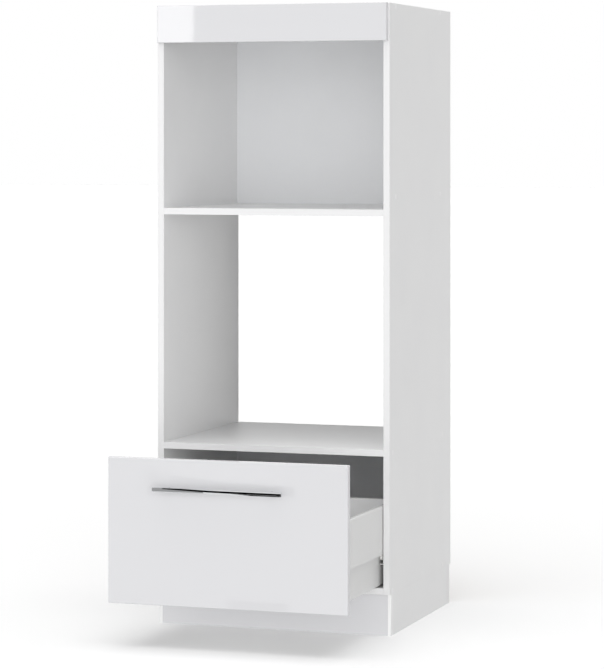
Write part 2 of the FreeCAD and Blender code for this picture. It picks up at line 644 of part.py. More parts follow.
def plinth_clip(x, y, distance, turn, z):
    """Open ring round a leg, with an arm to a plate on the plinth board that lies along the turn."""
    bore = LEG_TUBE_RADIUS + LEG_TUBE_CLEARANCE
    outer = bore + CLIP_SHEET
    ring = rod((0, 0, 0), ALONG_Z, outer, CLIP_HEIGHT, ROUND_SIDES)
    arm = block(0, distance, -CLIP_SHEET, CLIP_SHEET, 0, CLIP_HEIGHT)
    plate_low = (CLIP_HEIGHT - CLIP_PLATE_HEIGHT) / 2
    plate = block(distance - CLIP_SHEET, distance, -CLIP_PLATE_WIDTH / 2, CLIP_PLATE_WIDTH / 2,
                  plate_low, plate_low + CLIP_PLATE_HEIGHT)
    mouth = block(-outer, 0, -CLIP_MOUTH / 2, CLIP_MOUTH / 2, 0, CLIP_HEIGHT)
    hole = rod((0, 0, 0), ALONG_Z, bore, CLIP_HEIGHT, ROUND_SIDES)
    clip = ring.fuse([arm, plate]).removeSplitter().cut([hole, mouth])
    clip.rotate(Vec(0, 0, 0), ALONG_Z, turn)
    clip.translate(Vec(x, y, z))
    return clip


def plinth_clips():
    """Clips from the legs to the front board and to both side boards."""
    board_back = PLINTH_BOARD / 2
    board_inside = HALF - PLINTH_BOARD
    clips = []
    for x, y in leg_places():
        outward = 0 if x > 0 else 180
        clips.append(plinth_clip(x, y, board_inside - abs(x), outward, SIDE_CLIP_Z))
        if y == LEG_FRONT_Y:
            clips.append(plinth_clip(x, y, y - board_back, -90, FRONT_CLIP_Z))
    return clips


def corner_strip():
    """Right corner profile of the plinth: a rounded nose with two wings behind the boards."""
    face = -PLINTH_BOARD / 2
    back = PLINTH_BOARD / 2
    nose = block(HALF - CORNER_STRIP_FACE, HALF, face, back + CORNER_STRIP_SHEET, 0, PLINTH_HEIGHT)
    near_corner = CORNER_STRIP_RADIUS / 2
    outer_edges = [edge for edge in nose.Edges
                   if edge.BoundBox.XMin > HALF - near_corner and edge.BoundBox.YMax < face + near_corner]
    nose = nose.makeFillet(CORNER_STRIP_RADIUS, outer_edges)
    inside = HALF - PLINTH_BOARD
    front_wing = block(inside - CORNER_STRIP_WING, HALF - CORNER_STRIP_FACE, back,
                       back + CORNER_STRIP_SHEET, 0, PLINTH_HEIGHT)
    side_wing = block(inside - CORNER_STRIP_SHEET, inside, back, back + CORNER_STRIP_WING, 0, PLINTH_HEIGHT)
    return nose.fuse([front_wing, side_wing]).removeSplitter()


def save_plinth():
    """Plinth boards, corner strips, legs and clips."""
    reach = HALF - CORNER_STRIP_FACE
    save("plinth_front", block(-reach, reach, -PLINTH_BOARD / 2, PLINTH_BOARD / 2, 0, PLINTH_HEIGHT))
    side = block(HALF - PLINTH_BOARD, HALF, PLINTH_BOARD / 2 + CORNER_STRIP_SHEET,
                 REAR - PLINTH_REAR_GAP, 0, PLINTH_HEIGHT)
    save("plinth_side_right", side)
    save("plinth_side_left", mirrored(side))
    save("plinth_corner_strips", *both_sides([corner_strip()]))
    save("leg_sockets", *[leg_socket(x, y) for x, y in leg_places()])
    save("leg_feet", *[leg_foot(x, y) for x, y in leg_places()])
    save("plinth_clips", *plinth_clips())


# ------------------------------------------------------------ roller runners
def runner_screw_seats():
    """Seats of the screws that hold the right runner to the side panel."""
    z = (TRACK_FLOOR + TRACK_TOP) / 2
    ys = spread(RUNNER_SCREW_COUNT, RUNNER_FRONT + RUNNER_SCREW_FRONT_MARGIN,
                RUNNER_FRONT + DRAWER_LENGTH - RUNNER_SCREW_REAR_MARGIN)
    return [((RUNNER_WEB, y, z), ALONG_X) for y in ys]


def runner_stop():
    """Bump on the right runner's floor whose rear edge the rear roller meets at the end of its travel."""
    height_below_axle = ROLLER_RADIUS + ROLLER_GAP - RUNNER_STOP_HEIGHT
    roller_reach = math.sqrt(ROLLER_RADIUS ** 2 - height_below_axle ** 2)
    rear_face = LAST_REAR_ROLLER_Y - roller_reach - RUNNER_STOP_GAP
    return block(ROLLER_INNER_X, RUNNER_WEB, rear_face - RUNNER_STOP_LENGTH, rear_face,
                 TRACK_FLOOR, TRACK_FLOOR + RUNNER_STOP_HEIGHT)


def cabinet_runner():
    """Right runner: a channel as long as the drawer side, open to it, cut away for the front roller."""
    path = [(ROLLER_INNER_X, TRACK_FLOOR), (RUNNER_WEB, TRACK_FLOOR), (RUNNER_WEB, TRACK_TOP),
            (ROLLER_INNER_X, TRACK_TOP)]
    channel = folded_sheet(path, -RUNNER_SHEET, RUNNER_FRONT, RUNNER_FRONT + DRAWER_LENGTH)
    window = block(ROLLER_INNER_X, RUNNER_WEB, RUNNER_FRONT, RUNNER_FRONT + FRONT_ROLLER_WINDOW,
                   TRACK_TOP, RUNNER_TOP)
    holes = [small_screw_hole(seat, axis) for seat, axis in runner_screw_seats()]
    holes.append(rod((RUNNER_WEB, FRONT_ROLLER_Y, FRONT_ROLLER_Z), ALONG_X, AXLE_RADIUS + SCREW_CLEARANCE,
                     RUNNER_SHEET))
    return channel.cut(window).fuse(runner_stop()).removeSplitter().cut(holes)


def roller(y, z):
    """Right-hand nylon roller with a plain bore."""
    wheel = rod((ROLLER_INNER_X, y, z), ALONG_X, ROLLER_RADIUS, ROLLER_WIDTH)
    return wheel.cut(rod((ROLLER_INNER_X, y, z), ALONG_X, AXLE_RADIUS + AXLE_CLEARANCE, ROLLER_WIDTH))


def axle(y, z, carrier_x, carrier_thickness, towards):
    """Rivet that stands out of a sheet's face, with a shoulder before the roller and a head after it."""
    direction = ALONG_X * towards
    near = ROLLER_INNER_X if towards > 0 else ROLLER_OUTER_X
    far = ROLLER_OUTER_X if towards > 0 else ROLLER_INNER_X
    shoulder = abs(near - carrier_x) - AXLE_END_PLAY
    reach = abs(far - carrier_x) + AXLE_END_PLAY
    seat = Vec(carrier_x, y, z)
    pin = rod(seat - direction * carrier_thickness, direction, AXLE_RADIUS, carrier_thickness + reach)
    collar = rod(seat, direction, AXLE_SHOULDER_RADIUS, shoulder, HEAD_SIDES)
    head = rod(seat + direction * reach, direction, AXLE_HEAD_RADIUS, AXLE_HEAD_HEIGHT, HEAD_SIDES)
    return pin.fuse([collar, head]).removeSplitter()


def save_runners():
    """Both runners, the four rollers and what carries them."""
    runner = cabinet_runner()
    save("cabinet_runner_right", runner)
    save("cabinet_runner_left", mirrored(runner))
    screws = [small_screw(seat, axis) for seat, axis in runner_screw_seats()]
    save("runner_screws", *both_sides(screws))
    front_axle = axle(FRONT_ROLLER_Y, FRONT_ROLLER_Z, RUNNER_WEB, RUNNER_SHEET, -1)
    rear_axle = axle(REAR_ROLLER_Y, REAR_ROLLER_Z, WEB_OUTER, DRAWER_SHEET, 1)
    save("front_axles", *both_sides([front_axle]))
    save("rear_axles", *both_sides([rear_axle]))
    for name, y, z in (("front", FRONT_ROLLER_Y, FRONT_ROLLER_Z), ("rear", REAR_ROLLER_Y, REAR_ROLLER_Z)):
        wheel = roller(y, z)
        save(name + "_roller_right", wheel)
        save(name + "_roller_left", mirrored(wheel))


# ------------------------------------------------------------ drawer
def bottom_screw_seats():
    """Screws up through the steel side's lower flange into the drawer bottom."""
    x = WEB_INNER - BOTTOM_FLANGE / 2
    ys = spread(BOTTOM_SCREW_COUNT, DRAWER_BACK_OF_FRONT + BOTTOM_SCREW_MARGIN,
                DRAWER_REAR - BOTTOM_SCREW_MARGIN)
    return [((x, y, SIDE_Z), ALONG_Z) for y in ys]


def rear_tab_screw_seats():
    """Screws through the steel side's rear tab into the drawer back."""
    middle = DRAWER_FLOOR + REAR_TAB_HEIGHT / 2
    x = WEB_INNER - REAR_TAB / 2
    y = DRAWER_REAR + DRAWER_SHEET
    return [((x, y, middle + step * SCREW_PITCH / 2), -ALONG_Y) for step in (-1, 1)]


def front_bracket_screw_seats():
    """Screws through the front brackets into the drawer front."""
    x = WEB_INNER - FRONT_BRACKET_SCREW_INSET
    middle = DRAWER_FLOOR + FRONT_BRACKET_LIFT + FRONT_BRACKET_HEIGHT / 2
    y = DRAWER_BACK_OF_FRONT + FRONT_BRACKET_SHEET
    return [((x, y, middle + step * SCREW_PITCH / 2), -ALONG_Y) for step in (-1, 1)]


def plug_tab_screw_seats():
    """Screw through each rear plug's tab into the drawer back."""
    x = WEB_INNER - PLUG_TAB / 2
    return [((x, DRAWER_REAR + PLUG_TAB_SHEET, (SIDE_TOP + EXTENSION_TOP) / 2), -ALONG_Y)]


def all_drawer_screw_seats():
    """Every small screw on the drawer's right side."""
    return (bottom_screw_seats() + rear_tab_screw_seats() + front_bracket_screw_seats()
            + plug_tab_screw_seats())


def drawer_side():
    """Right steel side: floor flange, web, and a top flange with a lip that runs over the roller."""
    path = [(WEB_OUTER - BOTTOM_FLANGE, SIDE_Z), (WEB_OUTER, SIDE_Z), (WEB_OUTER, SIDE_TOP - DRAWER_SHEET),
            (FLANGE_EDGE - DRAWER_SHEET, SIDE_TOP - DRAWER_SHEET),
            (FLANGE_EDGE - DRAWER_SHEET, SIDE_TOP - FLANGE_LIP)]
    sheet = folded_sheet(path, DRAWER_SHEET, DRAWER_BACK_OF_FRONT, DRAWER_REAR)
    tab = block(WEB_INNER - REAR_TAB, WEB_OUTER, DRAWER_REAR, DRAWER_REAR + DRAWER_SHEET,
                DRAWER_FLOOR, DRAWER_FLOOR + REAR_TAB_HEIGHT)
    holes = [small_screw_hole(seat, axis) for seat, axis in bottom_screw_seats() + rear_tab_screw_seats()]
    holes.append(rod((WEB_INNER, REAR_ROLLER_Y, REAR_ROLLER_Z), ALONG_X, AXLE_RADIUS + SCREW_CLEARANCE,
                     DRAWER_SHEET))
    return sheet.fuse(tab).removeSplitter().cut(holes)


def side_extension():
    """Right box side: a sheet cap, open below, that stands on the steel side's top flange."""
    body = block(WEB_INNER, FLANGE_EDGE, DRAWER_BACK_OF_FRONT, DRAWER_REAR, SIDE_TOP, EXTENSION_TOP)
    top_edges = [edge for edge in body.Edges if edge.BoundBox.ZMin > EXTENSION_TOP - EXTENSION_SHEET
                 and edge.BoundBox.YLength > DRAWER_LENGTH / 2]
    body = body.makeFillet(EXTENSION_RADIUS, top_edges)
    hollow = block(WEB_INNER + EXTENSION_SHEET, FLANGE_EDGE - EXTENSION_SHEET, DRAWER_BACK_OF_FRONT,
                   DRAWER_REAR, SIDE_TOP, EXTENSION_TOP - EXTENSION_RADIUS)
    return body.cut(hollow)


def extension_plug(y0, y1):
    """Plastic block inside one end of the right box side."""
    skin = EXTENSION_SHEET + PLUG_CLEARANCE
    return block(WEB_INNER + skin, FLANGE_EDGE - skin, y0, y1,
                 SIDE_TOP, EXTENSION_TOP - EXTENSION_RADIUS - PLUG_CLEARANCE)


def plug_stud_places():
    """Studs of the front plugs, on the back of the drawer front."""
    x = (WEB_INNER + FLANGE_EDGE) / 2
    middle = (SIDE_TOP + EXTENSION_TOP) / 2
    return [(x, DRAWER_BACK_OF_FRONT, middle + step * PLUG_STUD_SPACING / 2) for step in (-1, 1)]


def extension_plugs():
    """Front plug with two studs in the drawer front, and rear plug with a tab behind the drawer back."""
    studs = [rod(place, -ALONG_Y, PLUG_STUD_RADIUS - SCREW_CLEARANCE, PLUG_STUD_LENGTH - SCREW_CLEARANCE,
                 SHANK_SIDES) for place in plug_stud_places()]
    front = extension_plug(DRAWER_BACK_OF_FRONT, DRAWER_BACK_OF_FRONT + PLUG_LENGTH).fuse(studs)
    rear = extension_plug(DRAWER_REAR - PLUG_LENGTH, DRAWER_REAR)
    tab = block(WEB_INNER - PLUG_TAB, FLANGE_EDGE, DRAWER_REAR, DRAWER_REAR + PLUG_TAB_SHEET,
                SIDE_TOP, EXTENSION_TOP)
    holes = [small_screw_hole(seat, axis) for seat, axis in plug_tab_screw_seats()]
    return [front.removeSplitter(), rear.fuse(tab).removeSplitter().cut(holes)]


def front_bracket():
    """Right angle that ties the steel side to the drawer front."""
    z0 = DRAWER_FLOOR + FRONT_BRACKET_LIFT
    z1 = z0 + FRONT_BRACKET_HEIGHT
    y0 = DRAWER_BACK_OF_FRONT
    on_front = block(WEB_INNER - FRONT_BRACKET_LEG, WEB_INNER, y0, y0 + FRONT_BRACKET_SHEET, z0, z1)
    on_web = block(WEB_INNER - FRONT_BRACKET_SHEET, WEB_INNER, y0, y0 + FRONT_BRACKET_REACH, z0, z1)
    holes = [small_screw_hole(seat, axis) for seat, axis in front_bracket_screw_seats()]
    return on_front.fuse(on_web).removeSplitter().cut(holes)


def handle_post_places():
    """Centres of the handle's posts on the drawer front's face."""
    return [(HANDLE_SHIFT + side * HANDLE_POST_SPACING / 2, DRAWER_FACE, HANDLE_Z) for side in (-1, 1)]


def drawer_front():
    """High-gloss drawer front with holes for the handle, brackets and plugs."""
    board = rounded_front(-DRAWER_FRONT_HALF, DRAWER_FRONT_HALF, DRAWER_FACE,
                          DRAWER_FRONT_Z, DRAWER_FRONT_TOP)
    right = [small_screw_hole(seat, axis) for seat, axis in front_bracket_screw_seats()]
    right += [rod(place, -ALONG_Y, PLUG_STUD_RADIUS, PLUG_STUD_LENGTH, SHANK_SIDES)
              for place in plug_stud_places()]
    holes = both_sides(right)
    holes += [rod(place, ALONG_Y, HANDLE_SCREW_RADIUS + SCREW_CLEARANCE, FRONT_BOARD, SHANK_SIDES)
              for place in handle_post_places()]
    return drilled(board, holes)


def drawer_bottom():
    """Board that lies on the steel sides' lower flanges, under the drawer back."""
    board = block(-WEB_INNER, WEB_INNER, DRAWER_BACK_OF_FRONT, DRAWER_REAR, FLOOR_Z, DRAWER_FLOOR)
    return drilled(board, both_sides([small_screw_hole(seat, axis) for seat, axis in bottom_screw_seats()]))


def drawer_back():
    """Board that stands on the drawer bottom, between the steel sides and box sides."""
    board = block(-WEB_INNER, WEB_INNER, DRAWER_REAR - DRAWER_BOARD, DRAWER_REAR,
                  DRAWER_FLOOR, EXTENSION_TOP)
    seats = rear_tab_screw_seats() + plug_tab_screw_seats()
    return drilled(board, both_sides([small_screw_hole(seat, axis) for seat, axis in seats]))


def handle_bar():
    """Flat bar with a crowned face and softly rounded edges."""
    back = DRAWER_FACE - HANDLE_PROJECTION + HANDLE_THICKNESS
    edge = DRAWER_FACE - HANDLE_PROJECTION + HANDLE_CROWN
    low = HANDLE_Z - HANDLE_HEIGHT / 2
    high = HANDLE_Z + HANDLE_HEIGHT / 2
    x = HANDLE_SHIFT - HANDLE_LENGTH / 2
    crown = Part.Arc(Vec(x, edge, high), Vec(x, edge - HANDLE_CROWN, HANDLE_Z), Vec(x, edge, low)).toShape()
    sides = Part.makePolygon([Vec(x, edge, low), Vec(x, back, low), Vec(x, back, high), Vec(x, edge, high)])
    profile = Part.Face(Part.Wire([crown] + sides.Edges))
    bar = profile.extrude(Vec(HANDLE_LENGTH, 0, 0))
    long_edges = [edge for edge in bar.Edges if edge.BoundBox.XLength > HANDLE_LENGTH / 2]
    return bar.makeFillet(HANDLE_EDGE_RADIUS, long_edges)


def handle_posts():
    """Round posts between the drawer front and the bar, each with a blind hole for its screw."""
    length = HANDLE_PROJECTION - HANDLE_THICKNESS
    posts = [rod(place, -ALONG_Y, HANDLE_POST_RADIUS, length) for place in handle_post_places()]
    return [post.cut(rod(place, -ALONG_Y, HANDLE_SCREW_RADIUS + SCREW_CLEARANCE,
                         HANDLE_SCREW_BITE + SCREW_CLEARANCE, SHANK_SIDES))
            for post, place in zip(posts, handle_post_places())]


def handle_screws():
    """Machine screws from inside the drawer through the front and the posts."""
    length = FRONT_BOARD + HANDLE_SCREW_BITE
    return [headed_screw((x, DRAWER_BACK_OF_FRONT, z), -ALONG_Y, HANDLE_SCREW_RADIUS, length,
                         HANDLE_SCREW_HEAD_RADIUS, HANDLE_SCREW_HEAD_HEIGHT)
            for x, y, z in handle_post_places()]


def bumper_pads():
    """Soft pads at the corners of the drawer front's back face."""
    x = DRAWER_FRONT_HALF - BUMPER_EDGE_X
    zs = (DRAWER_FRONT_Z + BUMPER_EDGE_Z, DRAWER_FRONT_TOP - BUMPER_EDGE_Z)
    return both_sides([rod((x, DRAWER_BACK_OF_FRONT, z), ALONG_Y, BUMPER_RADIUS, BUMPER_GAP - BUMPER_PLAY,
                           HEAD_SIDES) for z in zs])


def save_drawer():
    """Everything that slides with the drawer."""
    save("drawer_front", drawer_front())
    save("drawer_bottom", drawer_bottom())
    save("drawer_back", drawer_back())
    for name, shape in (("drawer_side", drawer_side()), ("side_extension", side_extension())):
        save(name + "_right", shape)
        save(name + "_left", mirrored(shape))
    save("extension_plugs", *both_sides(extension_plugs()))
    save("front_brackets", *both_sides([front_bracket()]))
    save("drawer_screws", *both_sides([small_screw(seat, axis) for seat, axis in all_drawer_screw_seats()]))
    save("bumper_pads", *bumper_pads())
    save("handle_bar", handle_bar())
    save("handle_posts", *handle_posts())
    save("handle_screws", *handle_screws())


os.makedirs("parts", exist_ok=True)
save_carcass()
save_plinth()
save_runners()
save_drawer()
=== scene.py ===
import json
import math

import bmesh
import bpy
from mathutils import Matrix, Vector


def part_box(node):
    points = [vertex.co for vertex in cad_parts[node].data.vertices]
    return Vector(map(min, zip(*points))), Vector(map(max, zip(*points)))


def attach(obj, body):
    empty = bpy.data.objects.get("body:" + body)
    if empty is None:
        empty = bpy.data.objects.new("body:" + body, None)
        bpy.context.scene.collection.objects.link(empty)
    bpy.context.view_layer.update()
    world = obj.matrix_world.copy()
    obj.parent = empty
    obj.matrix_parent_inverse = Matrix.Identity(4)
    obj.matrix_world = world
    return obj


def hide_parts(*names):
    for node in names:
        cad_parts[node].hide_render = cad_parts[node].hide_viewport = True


# Looks of the tall white kitchen cabinet. Metres, in the part's own frame: +Z up, +X to the right seen
# from the front, -Y towards the person in front, with the origin on the floor under the plinth's front.

# ------------------------------------------------------------ camera
IMAGE_HEIGHT_PX = 669
FOCAL_PX = 2839
HORIZON_PX = 137.2
SENSOR_MM = 36.0
CAMERA_PLACE = (2.282, -6.576, 1.205)
CAMERA_TURN = math.radians(18.59)
CAMERA_CLIP_END = 200.0

# ------------------------------------------------------------ studio
# Light from all round: an even base, and lobes given by direction, sharpness and strength. The one from
# below and behind stands in for the floor, which throws no light back by itself.
WORLD_BASE = 0.05
WORLD_LOBES = (
    ((0, -1, 0), 4.0, 0.85),
    ((0.5, -0.866, 0), 8.0, 2.00),
    ((-0.707, -0.707, 0), 4.0, 0.52),
    ((-0.1, -0.93, 0.35), 8.0, 0.28),
    ((1, 0, 0), 2.0, 0.44),
    ((-1, 0, 0), 2.0, 0.30),
    ((0, 0, 1), 2.0, 0.10),
    ((0, 0, 1), 8.0, 3.10),
    ((0, 0.707, -0.707), 2.0, 0.45),
)

# Floor: half its width, its plain colour, and its colour and glow for the rays that see it directly.
FLOOR_HALF = 60.0
FLOOR_BOUNCE = 0.80
FLOOR_SEEN = 0.97
FLOOR_LIFT = 0.075

# Upright bright card: width and height, where its right edge stands, how high, and the way it looks.
SOFTBOX_RADIANCE = 5.4
SOFTBOX_SIZE = (1.3, 2.0)
SOFTBOX_EDGE = (-1.441, -3.306)
SOFTBOX_LOW = 0.9
SOFTBOX_AIM = (0.403, 0.915)

# Cards for the dark line along the chrome bar. Two stand ahead of the bar, with corners given by x and the
# height over its middle, and one lies on the floor, with corners given by x and y.
FLAG_AHEAD = 0.025
FLAG_DARK = ((-0.160, 0.026), (-0.160, 0.010), (-0.057, -0.008), (0.040, -0.0144), (0.150, -0.0144),
             (0.150, 0.009), (-0.040, 0.014))
FLAG_GREY = ((-0.220, 0.035), (-0.220, -0.025), (-0.057, -0.025), (-0.057, -0.008), (-0.160, 0.010),
             (-0.160, 0.035))
FLAG_GREY_RADIANCE = 0.45
FLAG_FLOOR = ((-0.036, -0.56), (-0.257, -1.04), (-0.08, -1.04), (0.05, -0.56))
FLAG_FLOOR_HEIGHT = 0.003

# Card in the open rear of the oven niche, behind the shelf's rear edge.
FLAG_REAR_GAP = 0.002
FLAG_REAR_RADIANCE = 0.05

# ------------------------------------------------------------ colours, linear
MELAMINE = (0.895, 0.895, 0.895)
MELAMINE_DIM = (0.884, 0.884, 0.886)
EDGE_BAND = (0.820, 0.820, 0.824)
EDGE_SEAM = (0.640, 0.635, 0.625)
GLOSS = (0.718, 0.718, 0.735)
HARDBOARD_WHITE = (0.890, 0.898, 0.912)
HARDBOARD_BROWN = (0.300, 0.185, 0.105)
HARDBOARD_FIBRE = (0.400, 0.265, 0.155)
CHIP_DARK = (0.330, 0.210, 0.115)
CHIP_LIGHT = (0.620, 0.470, 0.300)
COATED = (0.785, 0.785, 0.780)
ZINC = (0.620, 0.630, 0.650)
PLASTIC_WHITE = (0.930, 0.930, 0.930)
PLASTIC_BLACK = (0.022, 0.022, 0.024)
NYLON = (0.840, 0.840, 0.815)
BEECH = (0.620, 0.430, 0.250)
BEECH_DARK = (0.500, 0.320, 0.170)
PAD = (0.780, 0.790, 0.790)
CHROME = (0.680, 0.690, 0.705)

# ------------------------------------------------------------ grain, gloss and relief
# A scale is in features per metre, a detail counts a noise's finer layers, a span is the part of its values
# that is used, and a relief is a depth in metres.
CLOUD_SPAN = (0.35, 0.65)
GRAIN_SPAN = (0.3, 0.7)
FACING_SPAN = (0.80, 0.90)
SATIN_ROUGHNESS = 0.42

MELAMINE_CLOUD = dict(scale=7.0, detail=2.0)
MELAMINE_PEARL = dict(scale=1400.0, detail=2.0)
MELAMINE_PEARL_ROUGHNESS = (0.38, 0.46)
MELAMINE_RELIEF = 0.00002
CHIP_FLAKES = dict(scale=420.0, detail=4.0, stretch=(1.0, 1.0, 0.35))
CHIP_SPAN = (0.38, 0.62)
CHIP_ROUGHNESS = 0.85
SEAM_STRENGTH = 0.8

# Depths in the carcass, along Y, over which the raw rear edge, the edge band and its seam set in.
RAW_EDGE_DEPTH = (0.5105, 0.5115)
BAND_DEPTH = (-0.0190, -0.0192)
SEAM_DEPTH = (-0.0198, -0.0196)

GLOSS_CLOUD = dict(scale=4.0, detail=1.0)
GLOSS_RIPPLE = dict(scale=55.0, detail=1.0)
GLOSS_ROUGHNESS = 0.03
GLOSS_IOR = 1.5
GLOSS_LIGHTER = 1.008
GLOSS_RELIEF = 0.000004

HARDBOARD_CLOUD = dict(scale=9.0, detail=2.0)
HARDBOARD_FIBRES = dict(scale=260.0, detail=6.0, stretch=(1.0, 1.0, 0.5))
HARDBOARD_FIBRE_SPAN = (0.36, 0.64)
HARDBOARD_FELT = dict(scale=900.0, detail=3.0)
HARDBOARD_DIMMER = 0.985
HARDBOARD_ROUGHNESS = 0.5
HARDBOARD_BROWN_ROUGHNESS = 0.8
HARDBOARD_WHITE_ROUGHNESS = 0.45
HARDBOARD_RELIEF = 0.00002

BEECH_GRAIN = dict(scale=900.0, detail=4.0, stretch=(0.06, 1.0, 1.0))
BEECH_ROUGHNESS = 0.6
BEECH_RELIEF = 0.00005

SPECKLE_DETAIL = 3.0
SPECKLE_ROUGHNESS = (0.85, 1.15)

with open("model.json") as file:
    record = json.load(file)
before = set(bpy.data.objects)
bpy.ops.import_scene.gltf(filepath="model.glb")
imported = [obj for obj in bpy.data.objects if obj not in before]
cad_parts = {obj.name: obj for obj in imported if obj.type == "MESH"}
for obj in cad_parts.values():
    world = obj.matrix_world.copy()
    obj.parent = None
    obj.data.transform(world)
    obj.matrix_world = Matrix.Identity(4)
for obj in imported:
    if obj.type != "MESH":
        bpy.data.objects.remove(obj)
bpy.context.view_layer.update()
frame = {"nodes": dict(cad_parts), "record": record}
nodes = frame["nodes"]
SLOTS = {row["node"]: row["material_slot"] for row in frame["record"]["subparts"]}
BODIES = {node: body for body, group in frame["record"]["behaviour"]["bodies"].items() for node in group}


# ------------------------------------------------------------ node helpers
# A Mix node's sockets for colours, which share their names with its sockets for numbers.
MIX_SHARE, MIX_FIRST, MIX_SECOND, MIX_RESULT = 0, 6, 7, 2


def link(tree, source, target):
    """Joins one node's output to another's input."""
    tree.links.new(source, target)


def new_material(name, colour, roughness):
    """Material with one principled shader, and its tree and shader."""
    made = bpy.data.materials.new(name)
    made.use_nodes = True
    shader = made.node_tree.nodes["Principled BSDF"]
    shader.inputs["Base Color"].default_value = (*colour, 1)
    shader.inputs["Roughness"].default_value = roughness
    return made, made.node_tree, shader


def place_in_part(tree, scale=(1, 1, 1)):
    """Coordinates of the part's frame, stretched by a scale along each axis."""
    mapping = tree.nodes.new("ShaderNodeMapping")
    mapping.inputs["Scale"].default_value = scale
    coordinates = tree.nodes.new("ShaderNodeTexCoord")
    link(tree, coordinates.outputs["Object"], mapping.inputs["Vector"])
    return mapping.outputs["Vector"]


def noise(tree, scale, detail, stretch=(1, 1, 1)):
    """Noise value whose features are about 1 / scale metres wide."""
    texture = tree.nodes.new("ShaderNodeTexNoise")
    texture.inputs["Scale"].default_value = scale
    texture.inputs["Detail"].default_value = detail
    link(tree, place_in_part(tree, stretch), texture.inputs["Vector"])
    return texture.outputs["Fac"]


def carry(tree, value, source, target=(0.0, 1.0)):
    """The value carried from one range to another, and kept inside it."""
    ranged = tree.nodes.new("ShaderNodeMapRange")
    for name, number in zip(("From Min", "From Max", "To Min", "To Max"), source + target):
        ranged.inputs[name].default_value = number
    link(tree, value, ranged.inputs["Value"])
    return ranged.outputs["Result"]


def blend_colours(tree, share, first, second):
    """Colour between two others, each a colour or another node's output."""
    mix = tree.nodes.new("ShaderNodeMix")
    mix.data_type = "RGBA"
    for socket, colour in ((mix.inputs[MIX_FIRST], first), (mix.inputs[MIX_SECOND], second)):
        if isinstance(colour, tuple):
            socket.default_value = (*colour, 1)
        else:
            link(tree, colour, socket)
    link(tree, share, mix.inputs[MIX_SHARE])
    return mix.outputs[MIX_RESULT]


def calculate(tree, operation, first, second):
    """Maths on two values, each a number or another node's output."""
    step = tree.nodes.new("ShaderNodeMath")
    step.operation = operation
    for socket, value in zip(step.inputs, (first, second)):
        if isinstance(value, (int, float)):
            socket.default_value = value
        else:
            link(tree, value, socket)
    return step.outputs[0]


def add_bump(tree, shader, height, relief):
    """Fine relief on the shader."""
    bump = tree.nodes.new("ShaderNodeBump")
    bump.inputs["Distance"].default_value = relief
    link(tree, height, bump.inputs["Height"])
    link(tree, bump.outputs["Normal"], shader.inputs["Normal"])


def facing_y(tree, sign):
    """1 on faces that look to the rear, or with sign -1 to the front, and 0 elsewhere."""
    coordinates = tree.nodes.new("ShaderNodeTexCoord")
    split = tree.nodes.new("ShaderNodeSeparateXYZ")
    link(tree, coordinates.outputs["Normal"], split.inputs[0])
    return carry(tree, calculate(tree, "MULTIPLY", split.outputs["Y"], sign), FACING_SPAN)


def depth_in_part(tree):
    """How far back a point is in the part's frame."""
    split = tree.nodes.new("ShaderNodeSeparateXYZ")
    link(tree, place_in_part(tree), split.inputs[0])
    return split.outputs["Y"]


def tinted(colour, factor):
    """The colour times a factor."""
    return tuple(channel * factor for channel in colour)


# ------------------------------------------------------------ materials
def melamine(name, edged):
    """Satin melamine on chipboard; edged boards have banded front edges and raw chipboard on their rear ones."""
    made, tree, shader = new_material(name, MELAMINE, SATIN_ROUGHNESS)
    cloud = carry(tree, noise(tree, **MELAMINE_CLOUD), CLOUD_SPAN)
    colour = blend_colours(tree, cloud, MELAMINE_DIM, MELAMINE)
    pearl = noise(tree, **MELAMINE_PEARL)
    roughness = carry(tree, pearl, GRAIN_SPAN, MELAMINE_PEARL_ROUGHNESS)
    add_bump(tree, shader, pearl, MELAMINE_RELIEF)
    if edged:
        depth = depth_in_part(tree)
        front = carry(tree, depth, BAND_DEPTH)
        colour = blend_colours(tree, calculate(tree, "MULTIPLY", facing_y(tree, -1), front), colour, EDGE_BAND)
        seam = calculate(tree, "MULTIPLY", front, carry(tree, depth, SEAM_DEPTH))
        colour = blend_colours(tree, calculate(tree, "MULTIPLY", seam, SEAM_STRENGTH), colour, EDGE_SEAM)
        chips = blend_colours(tree, carry(tree, noise(tree, **CHIP_FLAKES), CHIP_SPAN), CHIP_DARK, CHIP_LIGHT)
        rear = calculate(tree, "MULTIPLY", facing_y(tree, 1), carry(tree, depth, RAW_EDGE_DEPTH))
        colour = blend_colours(tree, rear, colour, chips)
        roughness = calculate(tree, "MAXIMUM", roughness, calculate(tree, "MULTIPLY", rear, CHIP_ROUGHNESS))
    link(tree, colour, shader.inputs["Base Color"])
    link(tree, roughness, shader.inputs["Roughness"])
    return made


def gloss():
    """High-gloss film on the fronts, and a plain satin white on their backs."""
    made, tree, shader = new_material("gloss_white", GLOSS, GLOSS_ROUGHNESS)
    shader.inputs["IOR"].default_value = GLOSS_IOR
    cloud = carry(tree, noise(tree, **GLOSS_CLOUD), GRAIN_SPAN)
    film = blend_colours(tree, cloud, GLOSS, tinted(GLOSS, GLOSS_LIGHTER))
    back = facing_y(tree, 1)
    link(tree, blend_colours(tree, back, film, MELAMINE_DIM), shader.inputs["Base Color"])
    link(tree, carry(tree, back, (0.0, 1.0), (GLOSS_ROUGHNESS, SATIN_ROUGHNESS)), shader.inputs["Roughness"])
    add_bump(tree, shader, noise(tree, **GLOSS_RIPPLE), GLOSS_RELIEF)
    return made


